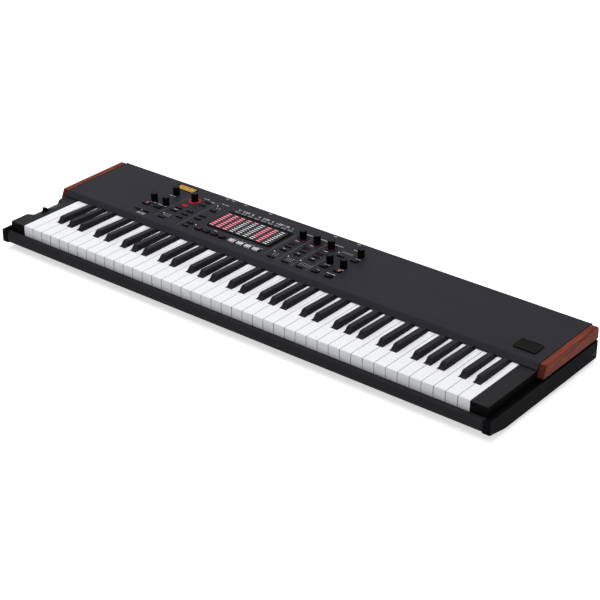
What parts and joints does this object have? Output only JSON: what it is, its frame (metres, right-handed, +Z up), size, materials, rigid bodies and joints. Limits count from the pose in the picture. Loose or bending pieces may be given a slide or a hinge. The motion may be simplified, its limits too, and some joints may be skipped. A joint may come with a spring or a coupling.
{
  "type": "combo organ",
  "caption": "Portable organ keyboard with black control panel, waterfall keys, turning knobs, press buttons, lit drawbar window and wooden end cheeks.",
  "frame": {"origin": "on the floor under the middle of the case, at the undersides of the feet", "axes": "+X to the player's right along the keyboard, +Y away from the player, +Z up"},
  "size_m": [1.1052, 0.3404, 0.0865],
  "materials": {
    "case_paint": "black powder coat, fine texture",
    "panel_paint": "charcoal satin powder coat",
    "cheek_wood": "red-brown stained, satin lacquer",
    "foot_rubber": "matt black rubber",
    "chassis_steel": "zinc-plated sheet steel",
    "circuit_board": "green solder mask",
    "white_key": "white, glossy",
    "black_key": "black, satin",
    "block_plastic": "black, satin",
    "lever_plastic": "black, satin",
    "knob_plastic": "black, satin",
    "button_plastic": "black, satin",
    "light_button": "light grey, satin",
    "window_plastic": "black smoked window, gloss",
    "display_plastic": "amber, gloss",
    "socket_plastic": "black"
  },
  "bodies": {
    "case": {"bottom_tray": "case_paint", "front_rail": "case_paint", "side_panel_left": "case_paint", "side_panel_right": "case_paint", "top_panel": "panel_paint", "rear_panel": "case_paint", "wood_cheek_left": "cheek_wood", "wood_cheek_right": "cheek_wood", "foot_front_left": "foot_rubber", "foot_front_right": "foot_rubber", "foot_rear_left": "foot_rubber", "foot_rear_right": "foot_rubber", "keybed_chassis": "chassis_steel", "key_contact_board": "circuit_board", "key_block_left": "block_plastic", "key_block_right": "block_plastic", "panel_board": "circuit_board", "drawbar_window": "window_plastic", "display_lens": "display_plastic", "rear_jack_row": "socket_plastic", "power_inlet": "socket_plastic", "main_board": "circuit_board", "power_supply": "chassis_steel"},
    "white_comb_1a": {"white_comb_1a": "white_key"},
    "white_comb_1b": {"white_comb_1b": "white_key"},
    "black_comb_1": {"black_comb_1": "black_key"},
    "white_comb_2a": {"white_comb_2a": "white_key"},
    "white_comb_2b": {"white_comb_2b": "white_key"},
    "black_comb_2": {"black_comb_2": "black_key"},
    "white_comb_3a": {"white_comb_3a": "white_key"},
    "white_comb_3b": {"white_comb_3b": "white_key"},
    "black_comb_3": {"black_comb_3": "black_key"},
    "white_comb_4a": {"white_comb_4a": "white_key"},
    "white_comb_4b": {"white_comb_4b": "white_key"},
    "black_comb_4": {"black_comb_4": "black_key"},
    "white_comb_5a": {"white_comb_5a": "white_key"},
    "white_comb_5b": {"white_comb_5b": "white_key"},
    "black_comb_5": {"black_comb_5": "black_key"},
    "white_comb_6a": {"white_comb_6a": "white_key"},
    "white_comb_6b": {"white_comb_6b": "white_key"},
    "black_comb_6": {"black_comb_6": "black_key"},
    "volume_knob": {"volume_knob": "knob_plastic"},
    "drive_knob": {"drive_knob": "knob_plastic"},
    "page_knob": {"page_knob": "knob_plastic"},
    "program_dial": {"program_dial": "knob_plastic"},
    "effect_knob_a": {"effect_knob_a": "knob_plastic"},
    "effect_knob_b": {"effect_knob_b": "knob_plastic"},
    "effect_knob_c": {"effect_knob_c": "knob_plastic"},
    "reverb_knob": {"reverb_knob": "knob_plastic"},
    "tone_knob": {"tone_knob": "knob_plastic"},
    "master_knob": {"master_knob": "knob_plastic"},
    "preset_buttons": {"preset_buttons": "button_plastic"},
    "drawbar_buttons": {"drawbar_buttons": "light_button"},
    "transpose_buttons": {"transpose_buttons": "button_plastic"},
    "voice_buttons": {"voice_buttons": "button_plastic"},
    "rotor_buttons": {"rotor_buttons": "button_plastic"},
    "effect_buttons": {"effect_buttons": "button_plastic"},
    "master_buttons": {"master_buttons": "button_plastic"},
    "pitch_lever": {"pitch_lever": "lever_plastic"},
    "power_rocker": {"power_rocker": "socket_plastic"}
  },
  "joints": [
    {"name": "white_comb_1a_pivot", "type": "hinge", "parent": "case", "child": "white_comb_1a", "pos_m": [0, 0.0405, 0.04805], "axis": [1, 0, 0], "range_deg": [0, 2.8], "stiffness_Nm_per_rad": 2.4, "springref_deg": -11.46},
    {"name": "white_comb_1b_pivot", "type": "hinge", "parent": "case", "child": "white_comb_1b", "pos_m": [0, 0.0405, 0.04305], "axis": [1, 0, 0], "range_deg": [0, 2.8], "stiffness_Nm_per_rad": 1.6, "springref_deg": -11.46},
    {"name": "black_comb_1_pivot", "type": "hinge", "parent": "case", "child": "black_comb_1", "pos_m": [0, 0.0405, 0.05305], "axis": [1, 0, 0], "range_deg": [0, 2.8], "stiffness_Nm_per_rad": 1.5, "springref_deg": -11.46},
    {"name": "white_comb_2a_pivot", "type": "hinge", "parent": "case", "child": "white_comb_2a", "pos_m": [0, 0.0405, 0.04805], "axis": [1, 0, 0], "range_deg": [0, 2.8], "stiffness_Nm_per_rad": 3.2, "springref_deg": -11.46},
    {"name": "white_comb_2b_pivot", "type": "hinge", "parent": "case", "child": "white_comb_2b", "pos_m": [0, 0.0405, 0.04305], "axis": [1, 0, 0], "range_deg": [0, 2.8], "stiffness_Nm_per_rad": 2.4, "springref_deg": -11.46},
    {"name": "black_comb_2_pivot", "type": "hinge", "parent": "case", "child": "black_comb_2", "pos_m": [0, 0.0405, 0.05305], "axis": [1, 0, 0], "range_deg": [0, 2.8], "stiffness_Nm_per_rad": 2.5, "springref_deg": -11.46},
    {"name": "white_comb_3a_pivot", "type": "hinge", "parent": "case", "child": "white_comb_3a", "pos_m": [0, 0.0405, 0.04805], "axis": [1, 0, 0], "range_deg": [0, 2.8], "stiffness_Nm_per_rad": 3.2, "springref_deg": -11.46},
    {"name": "white_comb_3b_pivot", "type": "hinge", "parent": "case", "child": "white_comb_3b", "pos_m": [0, 0.0405, 0.04305], "axis": [1, 0, 0], "range_deg": [0, 2.8], "stiffness_Nm_per_rad": 2.4, "springref_deg": -11.46},
    {"name": "black_comb_3_pivot", "type": "hinge", "parent": "case", "child": "black_comb_3", "pos_m": [0, 0.0405, 0.05305], "axis": [1, 0, 0], "range_deg": [0, 2.8], "stiffness_Nm_per_rad": 2.5, "springref_deg": -11.46},
    {"name": "white_comb_4a_pivot", "type": "hinge", "parent": "case", "child": "white_comb_4a", "pos_m": [0, 0.0405, 0.04805], "axis": [1, 0, 0], "range_deg": [0, 2.8], "stiffness_Nm_per_rad": 3.2, "springref_deg": -11.46},
    {"name": "white_comb_4b_pivot", "type": "hinge", "parent": "case", "child": "white_comb_4b", "pos_m": [0, 0.0405, 0.04305], "axis": [1, 0, 0], "range_deg": [0, 2.8], "stiffness_Nm_per_rad": 2.4, "springref_deg": -11.46},
    {"name": "black_comb_4_pivot", "type": "hinge", "parent": "case", "child": "black_comb_4", "pos_m": [0, 0.0405, 0.05305], "axis": [1, 0, 0], "range_deg": [0, 2.8], "stiffness_Nm_per_rad": 2.5, "springref_deg": -11.46},
    {"name": "white_comb_5a_pivot", "type": "hinge", "parent": "case", "child": "white_comb_5a", "pos_m": [0, 0.0405, 0.04805], "axis": [1, 0, 0], "range_deg": [0, 2.8], "stiffness_Nm_per_rad": 3.2, "springref_deg": -11.46},
    {"name": "white_comb_5b_pivot", "type": "hinge", "parent": "case", "child": "white_comb_5b", "pos_m": [0, 0.0405, 0.04305], "axis": [1, 0, 0], "range_deg": [0, 2.8], "stiffness_Nm_per_rad": 2.4, "springref_deg": -11.46},
    {"name": "black_comb_5_pivot", "type": "hinge", "parent": "case", "child": "black_comb_5", "pos_m": [0, 0.0405, 0.05305], "axis": [1, 0, 0], "range_deg": [0, 2.8], "stiffness_Nm_per_rad": 2.5, "springref_deg": -11.46},
    {"name": "white_comb_6a_pivot", "type": "hinge", "parent": "case", "child": "white_comb_6a", "pos_m": [0, 0.0405, 0.04805], "axis": [1, 0, 0], "range_deg": [0, 2.8], "stiffness_Nm_per_rad": 4, "springref_deg": -11.46},
    {"name": "white_comb_6b_pivot", "type": "hinge", "parent": "case", "child": "white_comb_6b", "pos_m": [0, 0.0405, 0.04305], "axis": [1, 0, 0], "range_deg": [0, 2.8], "stiffness_Nm_per_rad": 4, "springref_deg": -11.46},
    {"name": "black_comb_6_pivot", "type": "hinge", "parent": "case", "child": "black_comb_6", "pos_m": [0, 0.0405, 0.05305], "axis": [1, 0, 0], "range_deg": [0, 2.8], "stiffness_Nm_per_rad": 3.5, "springref_deg": -11.46},
    {"name": "volume_knob_turn", "type": "hinge", "parent": "case", "child": "volume_knob", "pos_m": [-0.37325, 0.06746, 0.06891], "axis": [0, -0.0118, 0.9999], "range_deg": [-150, 150]},
    {"name": "drive_knob_turn", "type": "hinge", "parent": "case", "child": "drive_knob", "pos_m": [-0.34325, 0.06746, 0.06891], "axis": [0, -0.0118, 0.9999], "range_deg": [-150, 150]},
    {"name": "page_knob_turn", "type": "hinge", "parent": "case", "child": "page_knob", "pos_m": [-0.35825, 0.11447, 0.06947], "axis": [0, -0.0118, 0.9999], "range_deg": [-150, 150]},
    {"name": "program_dial_turn", "type": "hinge", "parent": "case", "child": "program_dial", "pos_m": [-0.31025, 0.11447, 0.06947], "axis": [0, -0.0118, 0.9999], "continuous": true},
    {"name": "effect_knob_a_turn", "type": "hinge", "parent": "case", "child": "effect_knob_a", "pos_m": [-0.04425, 0.11684, 0.0695], "axis": [0, -0.0118, 0.9999], "range_deg": [-150, 150]},
    {"name": "effect_knob_b_turn", "type": "hinge", "parent": "case", "child": "effect_knob_b", "pos_m": [-0.01125, 0.11684, 0.0695], "axis": [0, -0.0118, 0.9999], "range_deg": [-150, 150]},
    {"name": "effect_knob_c_turn", "type": "hinge", "parent": "case", "child": "effect_knob_c", "pos_m": [0.02175, 0.11684, 0.0695], "axis": [0, -0.0118, 0.9999], "range_deg": [-150, 150]},
    {"name": "reverb_knob_turn", "type": "hinge", "parent": "case", "child": "reverb_knob", "pos_m": [0.05475, 0.06933, 0.06894], "axis": [0, -0.0118, 0.9999], "range_deg": [-150, 150]},
    {"name": "tone_knob_turn", "type": "hinge", "parent": "case", "child": "tone_knob", "pos_m": [0.08575, 0.06933, 0.06894], "axis": [0, -0.0118, 0.9999], "range_deg": [-150, 150]},
    {"name": "master_knob_turn", "type": "hinge", "parent": "case", "child": "master_knob", "pos_m": [0.08575, 0.12193, 0.06956], "axis": [0, -0.0118, 0.9999], "range_deg": [-150, 150]},
    {"name": "preset_buttons_press", "type": "slide", "parent": "case", "child": "preset_buttons", "axis": [0, 0.0118, -0.9999], "range_m": [0, 0.0012], "stiffness_N_per_m": 400, "springref_m": -0.002},
    {"name": "drawbar_buttons_press", "type": "slide", "parent": "case", "child": "drawbar_buttons", "axis": [0, 0.0118, -0.9999], "range_m": [0, 0.0012], "stiffness_N_per_m": 400, "springref_m": -0.002},
    {"name": "transpose_buttons_press", "type": "slide", "parent": "case", "child": "transpose_buttons", "axis": [0, 0.0118, -0.9999], "range_m": [0, 0.0012], "stiffness_N_per_m": 400, "springref_m": -0.002},
    {"name": "voice_buttons_press", "type": "slide", "parent": "case", "child": "voice_buttons", "axis": [0, 0.0118, -0.9999], "range_m": [0, 0.0012], "stiffness_N_per_m": 400, "springref_m": -0.002},
    {"name": "rotor_buttons_press", "type": "slide", "parent": "case", "child": "rotor_buttons", "axis": [0, 0.0118, -0.9999], "range_m": [0, 0.0012], "stiffness_N_per_m": 400, "springref_m": -0.002},
    {"name": "effect_buttons_press", "type": "slide", "parent": "case", "child": "effect_buttons", "axis": [0, 0.0118, -0.9999], "range_m": [0, 0.0012], "stiffness_N_per_m": 400, "springref_m": -0.002},
    {"name": "master_buttons_press", "type": "slide", "parent": "case", "child": "master_buttons", "axis": [0, 0.0118, -0.9999], "range_m": [0, 0.0012], "stiffness_N_per_m": 400, "springref_m": -0.002},
    {"name": "pitch_lever_pivot", "type": "hinge", "parent": "case", "child": "pitch_lever", "pos_m": [-0.52205, -0.0802, 0.0406], "axis": [1, 0, 0], "range_deg": [-20, 20], "stiffness_Nm_per_rad": 0.15},
    {"name": "power_rocker_pivot", "type": "hinge", "parent": "case", "child": "power_rocker", "pos_m": [0.44035, 0.1639, 0.0365], "axis": [1, 0, 0], "range_deg": [0, 14]}
  ]
}
